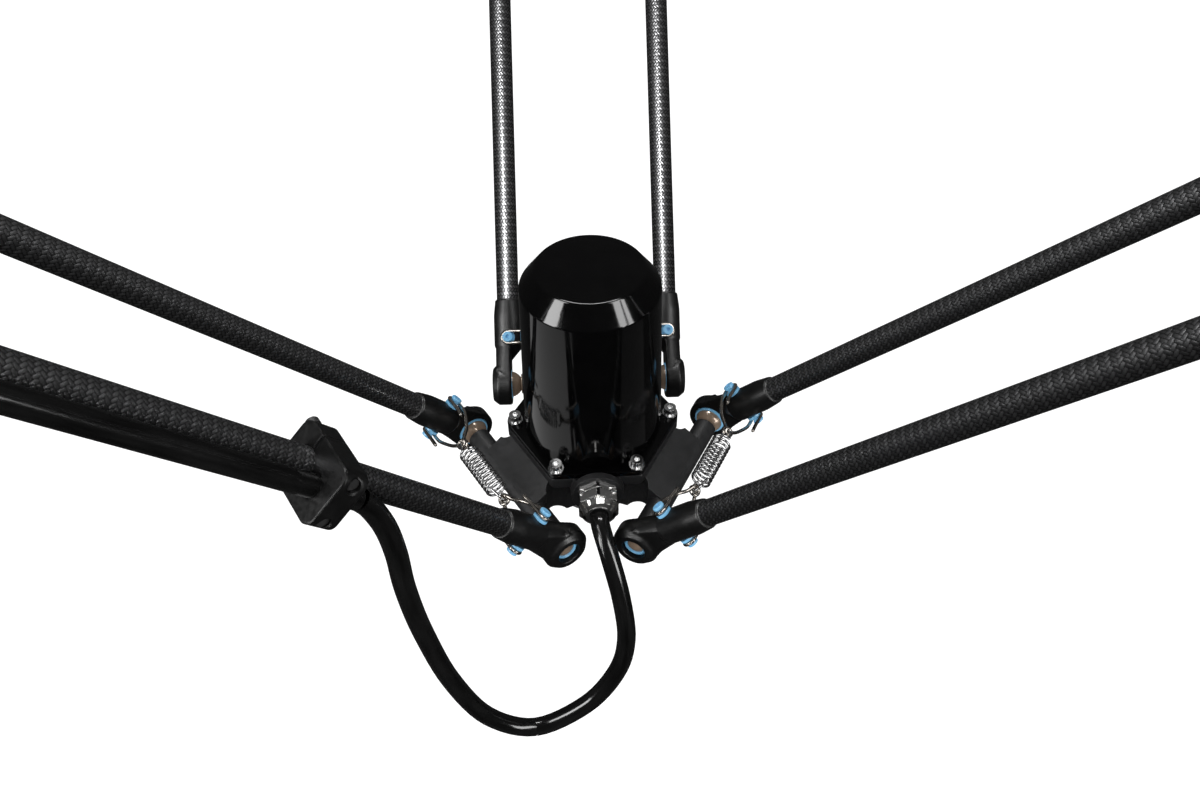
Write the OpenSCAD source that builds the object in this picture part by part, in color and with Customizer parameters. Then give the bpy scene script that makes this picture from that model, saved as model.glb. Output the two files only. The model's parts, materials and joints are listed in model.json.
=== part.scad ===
// Travelling platform of a three-arm delta robot, with its three pairs of carbon rods.
// Frame: origin at the centre of the tool flange face, +Z up along the tool axis,
// -Y towards the cable gland. A leg's own frame has X along the spring pins,
// Y along the line through its two balls and Z along its rods.

/* [Platform] */
// Height of the ball centres above the tool flange face
ball_z = 34; // [32:0.5:40]
// Distance from the tool axis to each ball bar
bar_radius = 55; // [54:0.5:60]
// Diameter of each ball bar
bar_d = 13.5; // [13:0.5:15]
// Overall length of each ball bar, end face to end face
bar_length = 85; // [78:1:86]
// Radius of the circle through the cover screws
screw_circle_r = 45.3; // [44:0.1:47]
// Thickness of the hexagonal top of the casting
hex_plate = 6.5; // [4:0.5:8]

/* [Motor cover] */
// Height of the cover's hexagonal flange top above the ball centres
flange_top = 24; // [22:0.5:26]
// Outer radius of the cover where it leaves its flange
cover_base_r = 40; // [38:0.5:41]
// Outer radius of the cover at the lower edge of its chamfer
cover_shoulder_r = 37.2; // [36:0.1:38]
// Radius of the flat top
cover_top_r = 28.8; // [24:0.2:32]
// Height of the chamfer's lower edge above the ball centres
cover_shoulder = 121.8; // [110:0.2:130]
// Height of the flat top above the ball centres
cover_top = 133; // [132:0.5:145]
// Wall thickness of the cover
cover_wall = 2.5; // [1.5:0.5:4]

/* [Tool flange] */
// Diameter of the tool flange
flange_d = 50; // [46:1:54]
// Bolt circle diameter of the tool flange
flange_pcd = 31.5; // [28:0.5:36]
// Diameter of the centring recess in the tool flange
pilot_d = 20; // [16:1:22]

/* [Rods] */
// Distance between the two balls of a pair
ball_spacing = 101; // [98:0.5:104]
// Diameter of each ball
ball_d = 16.5; // [16:0.25:17]
// Distance between the ball centres of one rod
rod_length = 480; // [440:5:600]
// Outer diameter of the carbon tube
tube_d = 14; // [13:0.5:15]
// Distance from the ball to the mouth of the rod end
sleeve_length = 54; // [50:1:60]
// Distance from the ball to the spring pins
pin_height = 29.3; // [28:0.1:31]

/* [Springs] */
// Wire diameter of the tension springs
spring_wire = 1.5; // [1.2:0.1:2.1]
// Outer diameter of the tension springs
spring_d = 12.6; // [10:0.2:14]
// Length of the coiled stretch
coil_length = 33; // [30:1:40]
// Number of coils
coils = 11; // [8:1:14]
// Wire diameter of the spring hooks
hook_wire = 2.1; // [1.6:0.1:2.2]

/* [Cable] */
// Diameter of the motor cable
cable_d = 10.5; // [9:0.5:11]
// Distance from the ball to the middle of the first cable clamp
clamp_1 = 180; // [170:2:200]
// Distance from the ball to the middle of the second cable clamp
clamp_2 = 350; // [320:5:370]

/* [Pose] */
// Lean of the rear rods from the vertical
rear_tilt = 46.3; // [25:0.1:55]
// Lean of the left rods from the vertical
left_tilt = 39.2; // [39:0.1:40]
// Lean of the right rods from the vertical
right_tilt = 42.4; // [25:0.1:55]
// Sideways lean of the rear rods
rear_shear = -1.1; // [-8:0.1:8]
// Sideways lean of the left rods
left_shear = 1.1; // [1:0.1:2]
// Sideways lean of the right rods
right_shear = 1.6; // [-8:0.1:8]

/* [Hidden] */
$fn = 64;
eps = 0.01;
LEGS = ["rear", "left", "right"];
LEG_PARTS = ["cups", "tube_a", "rod_ends_a", "spring_pins_a", "tube_b", "rod_ends_b", "spring_pins_b",
    "spring", "spring_hooks", "upper_spring_set", "upper_cups", "elbow_bar", "elbow_balls"];

// Legs: rear, left and right
leg_azimuth = [90, 210, 330];
leg_tilt = [rear_tilt, left_tilt, right_tilt];
leg_shear = [rear_shear, left_shear, right_shear];

// Ball joints
ball_r = ball_d / 2;
run_gap = 0.05;
cup_wall = 1.3;
cup_inner_r = ball_r + run_gap;
cup_outer_r = cup_inner_r + cup_wall;
cavity_r = cup_outer_r + run_gap;
ring_r = 13.2;
ring_inboard = 1.5;
ring_outboard = 10.5;
ring_hole_r = 6.8;
cup_lip = 2.4;
cup_rim = 7.6;
cup_hole_r = 4.8;
neck_r = 4.2;
stud_r = 3;
stud_depth = 14;
bar_r = bar_d / 2;
bar_end = bar_length / 2;
neck_length = ball_spacing / 2 - bar_end;

// Rod ends
sleeve_r = 9.2;
mouth_r = 8.1;
tube_r = tube_d / 2;
tube_wall = 1;
tube_start = 36;
shoulder_start = 44;
neck_low = 3;
neck_low_r = 12.6;
neck_high = 24;
neck_in = -1.4;
neck_out = 8.2;
neck_cut = 14.4;

// Spring pins, measured out from the rod's axis
pin_seat = 8.9;
pin_flange_r = 4.3;
pin_groove_in = 10.8;
pin_groove_out = 13.2;
pin_groove_r = 2.3;
pin_head_r = 3.1;
pin_tip = 15;
pin_shank_r = 2;
pin_shank_in = 4;

// Hooks and springs
hook_plane = (pin_groove_in + pin_groove_out) / 2;
hook_bend_r = pin_groove_r + hook_wire / 2 + 0.3;
hook_tail = 16;
spring_r = (spring_d - spring_wire) / 2;
coil_half = coil_length / 2;
loop_reach = 8.2;
eye_y = coil_half + 5.6;
pin_y = ball_spacing / 2;

// Casting and cover
hex_corner_r = 4.7;
casting_top = ball_z + flange_top - 4.3;
gasket_top = casting_top + 0.8;
flange_z = ball_z + flange_top;
thread_depth = 6;
pocket_r = 33;
pocket_z = 44;
hub_low = 8.5;
hub_r = 27;
hub_side_top = 28;
bowl_r = 38;
skirt_r = 41;
skirt_z = 47;
wing_root = 20;
wing_half = 26;
wing_slope = 31.3;
wing_run = 21.7;
notch_r = 6.5;
bearing_bore_r = 12.5;
bearing_r = 21;
bearing_z = 14;
bearing_w = 9;
screw_r = 2;
screw_head_r = 3.5;
washer_r = 4.5;
washer_t = 0.8;
gland_z = ball_z + 13;
lobe_r = 14;
lobe_end = 50;
gland_thread_r = 10;
gland_rim = 46;
cable_clearance = 0.15;
elbow_arm_angle = 30;
elbow_hub_r = 13;
elbow_hub_length = 34;
elbow_bore_r = 8;

// Motor inside the cover
stator_r = 30;
rotor_r = 15.5;
air_gap = 0.5;
rotor_shaft_r = 8;
rotor_low = pocket_z - 2;

// Cable
cable_r = cable_d / 2;
cable_angle = 80;
cable_offset = tube_r + cable_r + 0.15;
connector_offset = tube_r + 7.7;
connector_r = 7.5;
run_start = 161;
connector_low = clamp_2 + 33;
clamp_width = 12;
clamp_back = -14;
clamp_front = 25.5;
clamp_half = 14.5;
clamp_round = 6;
clamp_split = 0.2;
clamp_screw_y = [-9.8, 9.8];
clamp_screw_r = 1.6;
clamp_recess_r = 3.1;
clamp_head_r = 2.9;
clamp_nut_r = 3.2;
gland_face = 65.4;

// ---------- placing ----------

// Children drawn in a leg's frame, at the middle of its ball bar
module at_leg(k) {
    rotate([0, 0, leg_azimuth[k]])
        translate([bar_radius, 0, ball_z])
            rotate([0, leg_tilt[k], 0])
                children();
}

// Children drawn in a rod's frame, at its lower ball; side is 1 or -1
module at_rod(k, side) {
    at_leg(k)
        translate([0, side * ball_spacing / 2, 0])
            rotate([-leg_shear[k], 0, 0])
                children();
}

// Children drawn in a leg's frame, a distance up the rods
module at_height(k, distance) {
    at_leg(k)
        translate([0, distance * sin(leg_shear[k]), distance * cos(leg_shear[k])])
            children();
}

// Children drawn in an elbow's frame: X towards the upper arm, Y through the balls
module at_elbow(k) {
    at_height(k, rod_length)
        rotate([0, 180 + elbow_arm_angle - leg_tilt[k], 0])
            children();
}

// Children drawn on the cable's line beside the left rod, a distance from its ball
module at_cable(distance) {
    at_rod(1, 1)
        rotate([0, 0, cable_angle])
            translate([cable_offset, 0, distance])
                children();
}

// ---------- wire and tube sweeps ----------

function unit(v) = v / norm(v);
function tangents(path) = [
    for (i = [0 : len(path) - 1])
        unit(path[min(i + 1, len(path) - 1)] - path[max(i - 1, 0)])
];
function first_normal(t) = abs(t.z) < 0.9 ? unit(cross(t, [0, 0, 1])) : unit(cross(t, [1, 0, 0]));
function flatten(v, t) = unit(v - (v * t) * t);
function normals(t, done = []) =
    len(done) == len(t) ? done
    : len(done) == 0 ? normals(t, [first_normal(t[0])])
    : normals(t, concat(done, [flatten(done[len(done) - 1], t[len(done)])]));

// A round wire of the given radius along a list of points
module wire(path, radius, sides) {
    t = tangents(path);
    n = normals(t);
    last = len(path) - 1;
    points = [
        for (i = [0 : last]) for (j = [0 : sides - 1])
            path[i] + radius * (cos(360 * j / sides) * n[i] + sin(360 * j / sides) * cross(t[i], n[i]))
    ];
    quads = [for (i = [0 : last - 1]) for (j = [0 : sides - 1]) [i * sides, j, (j + 1) % sides]];
    polyhedron(points, concat(
        [[for (j = [0 : sides - 1]) j]],
        [[for (j = [sides - 1 : -1 : 0]) last * sides + j]],
        [for (q = quads) [q[0] + q[1], q[0] + sides + q[1], q[0] + sides + q[2]]],
        [for (q = quads) [q[0] + q[1], q[0] + sides + q[2], q[0] + q[2]]]
    ), convexity = 10);
}

// A smooth curve through a list of points, with a number of steps in each stretch
function knot(p, i) =
    i < 0 ? 2 * p[0] - p[1]
    : i > len(p) - 1 ? 2 * p[len(p) - 1] - p[len(p) - 2]
    : p[i];
function through(a, b, c, d, u) =
    b + u * (c - a) / 2 + u * u * (a - 2.5 * b + 2 * c - d / 2) + u * u * u * (1.5 * (b - c) + (d - a) / 2);
function smooth(p, steps) = concat(
    [
        for (i = [0 : len(p) - 2]) for (u = [0 : steps - 1])
            through(knot(p, i - 1), p[i], p[i + 1], knot(p, i + 2), u / steps)
    ],
    [p[len(p) - 1]]
);

// ---------- platform ----------

// Plan of the hexagonal joint face: six screw corners joined by flats
module hex_outline(grow = 0) {
    corner = hex_corner_r + grow;
    polygon([
        for (a = [0 : 60 : 300]) for (side = [-30, 30])
            screw_circle_r * [cos(a), sin(a)] + corner * [cos(a + side), sin(a + side)]
    ]);
    for (a = [0 : 60 : 300])
        rotate(a)
            translate([screw_circle_r, 0])
                circle(corner);
}

module screw_holes(radius, low, high) {
    for (a = [0 : 60 : 300])
        rotate([0, 0, a])
            translate([screw_circle_r, 0, low])
                cylinder(r = radius, h = high - low);
}

// One wing of the casting, in the frame of its leg's azimuth, its top tangent to the ball bar
module wing() {
    edge = [bar_radius + bar_r * sin(wing_slope), bar_r * cos(wing_slope)];
    shoulder = edge + wing_run * [-cos(wing_slope), sin(wing_slope)];
    notch_x = bar_radius - bar_r - notch_r;
    difference() {
        rotate([90, 0, 0])
            linear_extrude(2 * wing_half, center = true)
                polygon([[wing_root, -13], [bowl_r, -10], [bar_radius, -bar_r + 0.5], edge, shoulder,
                    [wing_root, shoulder.y]]);
        for (side = [-1, 1])
            translate([notch_x, side * (wing_half + 1.5), -wing_root])
                cylinder(r = notch_r, h = 50);
    }
}

module ball_bar() {
    rotate([90, 0, 0])
        cylinder(d = bar_d, h = bar_length, center = true);
}

module stud_holes() {
    for (side = [-1, 1])
        translate([0, side * bar_end, 0])
            rotate([90, 0, 0])
                cylinder(r = stud_r, h = 2 * stud_depth, center = true);
}

// The solid casting up to its joint face, without its bores
module casting_body() {
    difference() {
        union() {
            rotate_extrude()
                polygon([[0, hub_low], [hub_r - 1, hub_low], [hub_r, hub_low + 1], [hub_r, hub_side_top],
                    [(hub_r + bowl_r) / 2, (hub_side_top + pocket_z) / 2 + 2], [bowl_r, pocket_z],
                    [skirt_r, skirt_z], [skirt_r, casting_top], [0, casting_top]]);
            translate([0, 0, casting_top - hex_plate])
                linear_extrude(hex_plate)
                    hex_outline();
            for (a = leg_azimuth)
                rotate([0, 0, a]) {
                    translate([0, 0, ball_z])
                        wing();
                    translate([bar_radius, 0, ball_z])
                        ball_bar();
                }
            translate([0, -30, gland_z])
                rotate([90, 0, 0])
                    cylinder(r = lobe_r, h = lobe_end - 30);
            translate([0, -30, gland_z - 2])
                rotate([90, 0, 0])
                    cylinder(r1 = 17, r2 = lobe_r + 0.5, h = lobe_end - 31);
        }
        translate([0, 0, casting_top])
            cylinder(r = 80, h = 60);
    }
}

module platform_casting() {
    color([0.1, 0.1, 0.11])
        difference() {
            union() {
                casting_body();
                translate([0, -gland_rim, gland_z])
                    rotate([90, 0, 0])
                        cylinder(r = lobe_r, h = lobe_end - gland_rim);
            }
            for (a = leg_azimuth)
                rotate([0, 0, a])
                    translate([bar_radius, 0, ball_z])
                        stud_holes();
            translate([0, 0, bearing_z])
                cylinder(r = bearing_r, h = pocket_z - bearing_z + 1);
            translate([0, 0, hub_low - 1])
                cylinder(r = 18, h = bearing_z - hub_low + 2);
            translate([0, 0, pocket_z])
                cylinder(r = pocket_r, h = 60);
            screw_holes(screw_r, casting_top - thread_depth, casting_top + 1);
            translate([0, -25, gland_z])
                rotate([90, 0, 0])
                    cylinder(r = gland_thread_r, h = 60);
        }
}

module motor_cover() {
    inner_top = ball_z + cover_top - cover_wall;
    shoulder_z = ball_z + cover_shoulder;
    color([0.03, 0.03, 0.03])
        difference() {
            union() {
                translate([0, 0, gasket_top])
                    linear_extrude(flange_z - gasket_top)
                        hex_outline();
                rotate_extrude()
                    polygon([[0, gasket_top], [cover_base_r, gasket_top], [cover_base_r, flange_z],
                        [cover_shoulder_r, shoulder_z], [cover_top_r, ball_z + cover_top],
                        [0, ball_z + cover_top]]);
            }
            rotate_extrude()
                polygon([[0, gasket_top - 1], [cover_base_r - cover_wall - 1, gasket_top - 1],
                    [cover_shoulder_r - cover_wall, shoulder_z - 2], [cover_top_r - 1.5, inner_top],
                    [0, inner_top]]);
            screw_holes(screw_r + 0.2, gasket_top - 1, flange_z + 1);
        }
}

module cover_gasket() {
    color([0.05, 0.05, 0.05])
        difference() {
            translate([0, 0, casting_top])
                linear_extrude(gasket_top - casting_top)
                    hex_outline(-0.4);
            translate([0, 0, casting_top - 1])
                cylinder(r = cover_base_r - cover_wall - 1, h = 4);
            screw_holes(screw_r + 0.2, casting_top - 1, flange_z);
        }
}

// Socket screws and their flat washers
module cover_screws() {
    head_low = flange_z + washer_t;
    color([0.75, 0.75, 0.75])
        for (a = [0 : 60 : 300])
            rotate([0, 0, a])
                translate([screw_circle_r, 0, 0]) {
                    difference() {
                        union() {
                            translate([0, 0, casting_top - thread_depth + 0.5])
                                cylinder(r = screw_r, h = head_low - casting_top + thread_depth - 0.5);
                            translate([0, 0, head_low])
                                cylinder(r = screw_head_r, h = 4);
                        }
                        translate([0, 0, head_low + 1.8])
                            cylinder(r = 1.7, h = 4, $fn = 6);
                    }
                    difference() {
                        translate([0, 0, flange_z])
                            cylinder(r = washer_r, h = washer_t);
                        translate([0, 0, flange_z - 1])
                            cylinder(r = screw_r + 0.15, h = 3);
                    }
                }
}

// A ball on its stud; the ball's centre is at the origin and the bar lies towards -Y
module ball_stud() {
    rotate([90, 0, 0])
        rotate_extrude()
            union() {
                intersection() {
                    circle(ball_r);
                    translate([0, -ball_r])
                        square([ball_r, ball_d]);
                }
                square([neck_r, neck_length]);
                translate([0, neck_length - 1])
                    square([6.2, 1]);
                translate([0, neck_length - eps])
                    square([stud_r, stud_depth - 1]);
            }
}

module ball_pair() {
    color([0.35, 0.25, 0.18])
        for (side = [-1, 1])
            translate([0, side * ball_spacing / 2, 0])
                mirror([0, side < 0 ? 1 : 0, 0])
                    ball_stud();
}

module ball_studs() {
    for (a = leg_azimuth)
        rotate([0, 0, a])
            translate([bar_radius, 0, ball_z])
                ball_pair();
}

// ---------- cable gland ----------

// Children drawn with +Z pointing out along the gland, z measured from the tool axis
module at_gland() {
    translate([0, 0, gland_z])
        rotate([90, 0, 0])
            rotate([0, 0, 30])
                children();
}

module gland_body() {
    hex_r = 22 / sqrt(3);
    color([0.7, 0.7, 0.7])
        at_gland()
            difference() {
                union() {
                    translate([0, 0, gland_rim - 0.5])
                        cylinder(r = gland_thread_r, h = lobe_end - gland_rim + 0.5);
                    intersection() {
                        translate([0, 0, lobe_end])
                            cylinder(r = hex_r, h = 4.5, $fn = 6);
                        translate([0, 0, lobe_end])
                            cylinder(r = 12.2, h = 4.5);
                    }
                    translate([0, 0, lobe_end])
                        cylinder(r = 9, h = 6);
                }
                translate([0, 0, 30])
                    cylinder(r = 7.6, h = 60);
            }
}

module gland_nut() {
    hex_r = 22 / sqrt(3);
    low = lobe_end + 5;
    color([0.72, 0.72, 0.72])
        at_gland()
            difference() {
                union() {
                    intersection() {
                        translate([0, 0, low])
                            cylinder(r = hex_r, h = 5.5, $fn = 6);
                        translate([0, 0, low])
                            cylinder(r = 12.2, h = 5.5);
                    }
                    rotate_extrude()
                        polygon([[0, low + 5], [11, low + 5], [11, low + 6.5], [9.6, low + 9],
                            [7.4, gland_face], [0, gland_face]]);
                }
                translate([0, 0, low - 1])
                    cylinder(r = 9.1, h = 3);
                translate([0, 0, low - 1])
                    cylinder(r = 7.2, h = 20);
            }
}

module gland_seal() {
    color([0.08, 0.08, 0.08])
        at_gland()
            difference() {
                translate([0, 0, lobe_end - 4])
                    cylinder(r = 7.15, h = gland_face - 0.5 - lobe_end + 4);
                translate([0, 0, 30])
                    cylinder(r = cable_r + cable_clearance, h = 60);
            }
}

// ---------- motor, bearing and tool flange ----------

module ring(outer, inner, low, high) {
    difference() {
        translate([0, 0, low])
            cylinder(r = outer, h = high - low);
        translate([0, 0, low - 1])
            cylinder(r = inner, h = high - low + 2);
    }
}

module motor_stator() {
    color([0.5, 0.5, 0.52])
        ring(stator_r, rotor_r + air_gap, pocket_z, ball_z + 84);
}

module encoder_ring() {
    color([0.1, 0.3, 0.15])
        ring(24, rotor_shaft_r + 1, ball_z + 84, ball_z + 92);
}

module bearing_outer_race() {
    color([0.7, 0.7, 0.72])
        ring(bearing_r, 17.4, bearing_z, bearing_z + bearing_w);
}

module bearing_inner_race() {
    color([0.7, 0.7, 0.72])
        ring(15.6, bearing_bore_r, bearing_z, bearing_z + bearing_w);
}

module shaft_seal() {
    color([0.06, 0.06, 0.06])
        ring(18, bearing_bore_r + 0.1, 9.5, 13.5);
}

module motor_rotor() {
    color([0.45, 0.45, 0.47]) {
        translate([0, 0, rotor_low])
            cylinder(r = rotor_r, h = ball_z + 80 - rotor_low);
        translate([0, 0, ball_z + 80])
            cylinder(r = rotor_shaft_r, h = 18);
        translate([0, 0, 24])
            cylinder(r = rotor_shaft_r, h = rotor_low - 24);
    }
}

module tool_flange() {
    color([0.72, 0.72, 0.73])
        difference() {
            rotate_extrude()
                polygon([[0, 0], [flange_d / 2 - 1, 0], [flange_d / 2, 1], [flange_d / 2, 7],
                    [flange_d / 2 - 1, 8], [bearing_bore_r + 1, 8], [bearing_bore_r, 9],
                    [bearing_bore_r, 24], [0, 24]]);
            translate([0, 0, -1])
                cylinder(d = pilot_d, h = 4.5);
            for (a = [45 : 90 : 315])
                rotate([0, 0, a])
                    translate([flange_pcd / 2, 0, -1])
                        cylinder(r = 2.5, h = 7.5);
            translate([0, 0, -1])
                cylinder(r = 3, h = 30);
        }
}

// ---------- rod pairs ----------

// Turns a profile of radius against height about the Y axis
module turned_about_y() {
    rotate([-90, 0, 0])
        rotate_extrude()
            children();
}

// A rod end in the rod's frame: the ball's centre is at the origin, the cup opens towards -Y
module rod_end() {
    difference() {
        union() {
            turned_about_y()
                polygon([[0, -ring_inboard], [ring_r - 1.4, -ring_inboard], [ring_r, 0],
                    [ring_r, ring_outboard - 3.5], [ring_r - 3, ring_outboard], [0, ring_outboard]]);
            rotate([0, 0, 45])
                rotate_extrude()
                    polygon([[0, neck_cut], [1.4, neck_cut], [sleeve_r, neck_high], [sleeve_r, shoulder_start],
                        [mouth_r, sleeve_length], [0, sleeve_length]]);
            intersection() {
                rotate([0, 0, 45])
                    translate([0, 0, neck_low])
                        cylinder(r1 = neck_low_r, r2 = sleeve_r, h = neck_high - neck_low);
                translate([-20, neck_in, -1])
                    cube([40, neck_out - neck_in, 40]);
            }
        }
        ball_cavity();
        translate([0, 0, tube_start])
            cylinder(r = tube_r, h = 40);
        for (side = [-1, 1])
            translate([0, 0, pin_height])
                rotate([0, side * 90, 0]) {
                    translate([0, 0, pin_shank_in])
                        cylinder(r = pin_shank_r, h = 20);
                    translate([0, 0, pin_seat])
                        cylinder(r = pin_flange_r + 0.1, h = 10);
                }
    }
}

// The round room for the ball's cup and the hole through the ring's outer face
module ball_cavity() {
    turned_about_y()
        union() {
            intersection() {
                circle(cavity_r);
                translate([0, -cavity_r])
                    square([cavity_r, 2 * cavity_r]);
            }
            square([ring_hole_r, 20]);
        }
}

// Both ends of a rod, the upper one turned over
module both_ends() {
    children();
    translate([0, 0, rod_length])
        mirror([0, 0, 1])
            children();
}

module rod_ends(side) {
    color([0.07, 0.07, 0.07])
        both_ends()
            mirror([0, side < 0 ? 1 : 0, 0])
                rod_end();
}

module tube() {
    color([0.14, 0.14, 0.14])
        ring(tube_r, tube_r - tube_wall, tube_start, rod_length - tube_start);
}

module spring_pin() {
    rotate_extrude()
        polygon([[0, pin_shank_in], [pin_shank_r, pin_shank_in], [pin_shank_r, pin_seat],
            [pin_flange_r, pin_seat], [pin_flange_r, pin_groove_in - 0.4], [pin_groove_r, pin_groove_in],
            [pin_groove_r, pin_groove_out], [pin_head_r, pin_groove_out + 0.4], [pin_head_r, pin_tip],
            [0, pin_tip]]);
}

module spring_pins() {
    color([0.25, 0.6, 0.85])
        both_ends()
            for (side = [-1, 1])
                translate([0, 0, pin_height])
                    rotate([0, side * 90, 0])
                        spring_pin();
}

// The plastic cup between a ball and its rod end, open towards -Y
module cup() {
    turned_about_y()
        difference() {
            intersection() {
                circle(cup_outer_r);
                translate([0, -cup_lip])
                    square([20, cup_lip + cup_rim]);
            }
            circle(cup_inner_r);
            square([cup_hole_r, 20]);
        }
}

module cup_pair() {
    color([0.3, 0.65, 0.85])
        for (side = [-1, 1])
            translate([0, side * ball_spacing / 2, 0])
                mirror([0, side < 0 ? 1 : 0, 0])
                    cup();
}

// A tension spring along Y, centred on the origin, with a round loop at each end
module spring() {
    per_turn = 9;
    end_loop = [[0, 1.6, spring_r - 0.6], [0, 4, 4.3], [0, loop_reach - 1.3, 3], [0, loop_reach, 0],
        [0, loop_reach - 1.3, -3], [0, 4, -4.1], [0, 1.6, -3.4]];
    helix = [
        for (i = [0 : coils * per_turn])
            let (a = 360 * i / per_turn)
                [spring_r * sin(a), coil_length * i / (coils * per_turn) - coil_half, spring_r * cos(a)]
    ];
    low_loop = [for (i = [len(end_loop) - 1 : -1 : 0]) [0, -coil_half - end_loop[i].y, end_loop[i].z]];
    high_loop = [for (p = end_loop) [0, coil_half + p.y, p.z]];
    color([0.75, 0.75, 0.75])
        wire(concat(low_loop, helix, high_loop), spring_wire / 2, 6);
}

// Half of a spring hook: from its free tail round a pin at +Y to the middle of the eye
function half_hook(turn) = concat(
    [[hook_plane * turn, pin_y - hook_tail, hook_bend_r]],
    [
        for (a = [90 : -30 : -90])
            [hook_plane * turn, pin_y + hook_bend_r * cos(a), hook_bend_r * sin(a)]
    ],
    [[hook_plane * turn, pin_y - 6, -hook_bend_r], [(hook_plane - 0.6) * turn, pin_y - 9, -hook_bend_r],
        [6.2 * turn, eye_y + 9, -2.8], [3.4 * turn, eye_y + 4, -1], [2.4 * turn, eye_y + 1.2, -0.2]]
);
function reversed(list) = [for (i = [len(list) - 1 : -1 : 0]) list[i]];

// The two wire hooks that join a spring to the pins of its two rods
module hooks() {
    path = concat(half_hook(1), [[0, eye_y, 0]], reversed(half_hook(-1)));
    color([0.6, 0.55, 0.5])
        for (side = [-1, 1])
            mirror([0, side < 0 ? 1 : 0, 0])
                wire(path, hook_wire / 2, 6);
}

// ---------- elbows ----------

// The cross bar at the top of a rod pair, with a bore for the upper arm's spigot
module elbow_bar() {
    color([0.1, 0.1, 0.11])
        difference() {
            union() {
                ball_bar();
                rotate([0, 90, 0])
                    cylinder(r = elbow_hub_r, h = elbow_hub_length, center = true);
                rotate([90, 0, 0])
                    cylinder(r = bar_r + 2, h = 44, center = true);
            }
            stud_holes();
            rotate([0, 90, 0])
                cylinder(r = elbow_bore_r, h = 60, center = true);
        }
}

// ---------- cable ----------

// The hanging stretch, from the gland's face round to the first clamp
loop_route = [[0, -42, 47], [0, -54, 47], [0, -65, 47], [0.6, -73, 46], [4.5, -86, 37], [10, -99, 15], [12, -110, -8],
    [6, -116, -32], [-12, -121, -58], [-42, -126, -72], [-68, -128, -52], [-84, -129, -8],
    [-92, -131, 44], [-95, -132, 84], [-95, -132, 112], [-96.5, -132.5, 132], [-100, -134, 148],
    [-103.4, -135.6, 156.2]];

module cable_loop() {
    color([0.02, 0.02, 0.02])
        wire(smooth(loop_route, 4), cable_r, 10);
}

// The stretch along the left rod, in the frame of at_cable
module cable_run() {
    color([0.02, 0.02, 0.02])
        at_cable(run_start)
            cylinder(r = cable_r, h = connector_low - run_start);
}

module cable_connector() {
    color([0.6, 0.6, 0.6])
        at_cable(connector_low)
            translate([connector_offset - cable_offset, 0, 0])
                difference() {
                    rotate_extrude()
                        polygon([[0, 0], [connector_r, 0], [connector_r, 14], [connector_r - 0.8, 15],
                            [connector_r - 0.8, 37], [connector_r - 1.2, 38], [0, 38]]);
                    translate([0, 0, 28])
                        cylinder(r = connector_r - 1.8, h = 20);
                }
}

// A clamp in its own frame: X from the rod to the cable, Z along the rod
module clamp_block() {
    difference() {
        linear_extrude(clamp_width, center = true) {
            translate([clamp_back, -clamp_half + clamp_round])
                square([clamp_front - clamp_back, 2 * (clamp_half - clamp_round)]);
            translate([clamp_back + clamp_round, -clamp_half])
                square([clamp_front - clamp_back - 2 * clamp_round, 2 * clamp_half]);
            for (x = [clamp_back + clamp_round, clamp_front - clamp_round])
                for (y = [clamp_round - clamp_half, clamp_half - clamp_round])
                    translate([x, y])
                        circle(clamp_round);
        }
        cylinder(r = tube_r, h = 60, center = true);
        rotate([0, 0, cable_angle - 90])
            translate([cable_offset, 0, 0])
                cylinder(r = cable_r, h = 60, center = true);
        for (y = clamp_screw_y)
            translate([0, y, 0])
                rotate([0, 90, 0])
                    cylinder(r = clamp_screw_r, h = 80, center = true);
        for (y = clamp_screw_y)
            translate([clamp_front - 5, y, 0])
                rotate([0, 90, 0])
                    cylinder(r = clamp_recess_r, h = 80);
    }
}

module at_clamps() {
    for (distance = [clamp_1, clamp_2])
        at_rod(1, 1)
            translate([0, 0, distance])
                rotate([0, 0, 90])
                    children();
}

// The half behind the rod
module clamp_saddles() {
    color([0.06, 0.06, 0.06])
        at_clamps()
            difference() {
                clamp_block();
                translate([-clamp_split, -50, -50])
                    cube(100);
            }
}

// The half that also holds the cable
module clamp_caps() {
    color([0.06, 0.06, 0.06])
        at_clamps()
            difference() {
                clamp_block();
                translate([clamp_split - 100, -50, -50])
                    cube(100);
            }
}

module clamp_screws() {
    color([0.1, 0.1, 0.1])
        at_clamps()
            for (y = clamp_screw_y)
                translate([0, y, 0])
                    rotate([0, 90, 0]) {
                        translate([0, 0, clamp_back - 2.5])
                            cylinder(r = clamp_screw_r, h = clamp_front - 5 - clamp_back + 2.5);
                        translate([0, 0, clamp_back - 3])
                            cylinder(r = clamp_nut_r, h = 3);
                        translate([0, 0, clamp_front - 5])
                            cylinder(r = clamp_head_r, h = 3);
                    }
}

// ---------- nodes ----------

platform_casting();
motor_cover();
cover_gasket();
cover_screws();
ball_studs();
gland_body();
gland_nut();
gland_seal();
motor_stator();
encoder_ring();
bearing_outer_race();
shaft_seal();
cable_loop();
tool_flange();
motor_rotor();
bearing_inner_race();
cable_run();
clamp_saddles();
clamp_caps();
clamp_screws();
cable_connector();
for (k = [0 : 2]) {
    at_leg(k) cup_pair();
    at_rod(k, 1) tube();
    at_rod(k, 1) rod_ends(1);
    at_rod(k, 1) spring_pins();
    at_rod(k, -1) tube();
    at_rod(k, -1) rod_ends(-1);
    at_rod(k, -1) spring_pins();
    at_height(k, pin_height) spring();
    at_height(k, pin_height) hooks();
    at_height(k, rod_length - pin_height)
            mirror([0, 0, 1]) {
                spring();
                hooks();
            }
    at_height(k, rod_length) cup_pair();
    at_elbow(k) elbow_bar();
    at_elbow(k) ball_pair();
}
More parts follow.
